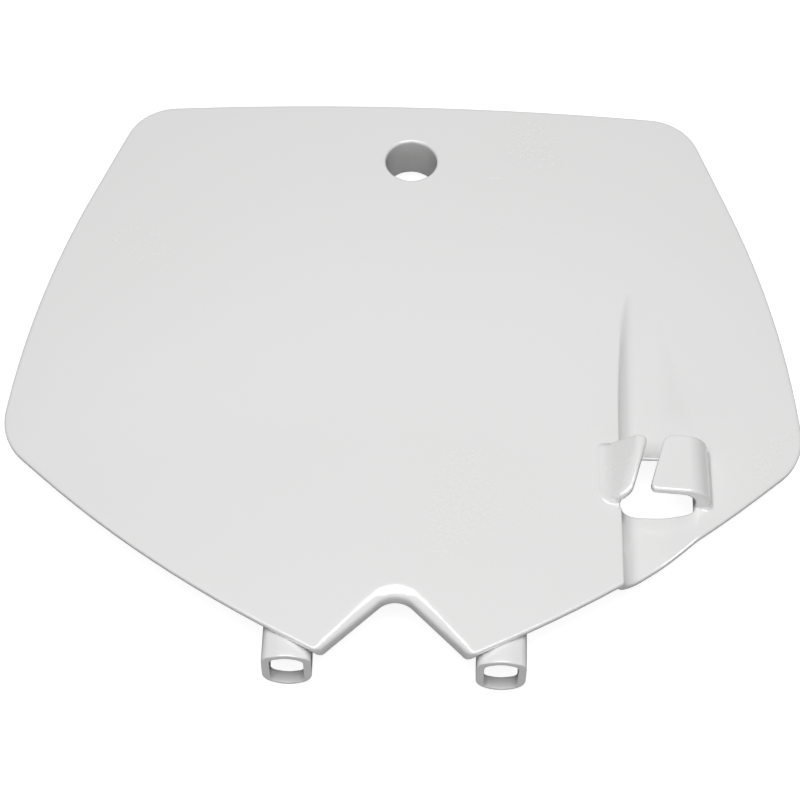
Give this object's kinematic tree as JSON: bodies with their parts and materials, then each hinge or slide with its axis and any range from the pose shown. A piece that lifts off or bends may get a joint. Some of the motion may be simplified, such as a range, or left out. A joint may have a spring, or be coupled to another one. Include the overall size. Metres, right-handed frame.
{
  "type": "racing number board",
  "caption": "Moulded plastic front number board for a motorbike, with a bolt boss, eyelets behind its legs and a hose guide with two hooks.",
  "frame": {"origin": "middle of the board's width and height, on the surface that it lies on", "axes": "+X to the right as seen from the front, along the width; +Y towards the top edge; +Z out of the front face"},
  "size_m": [0.29, 0.248, 0.0295],
  "materials": {
    "white_plastic": "glossy moulded polypropylene"
  },
  "bodies": {
    "root": {"number_board": "white_plastic"}
  },
  "joints": []
}
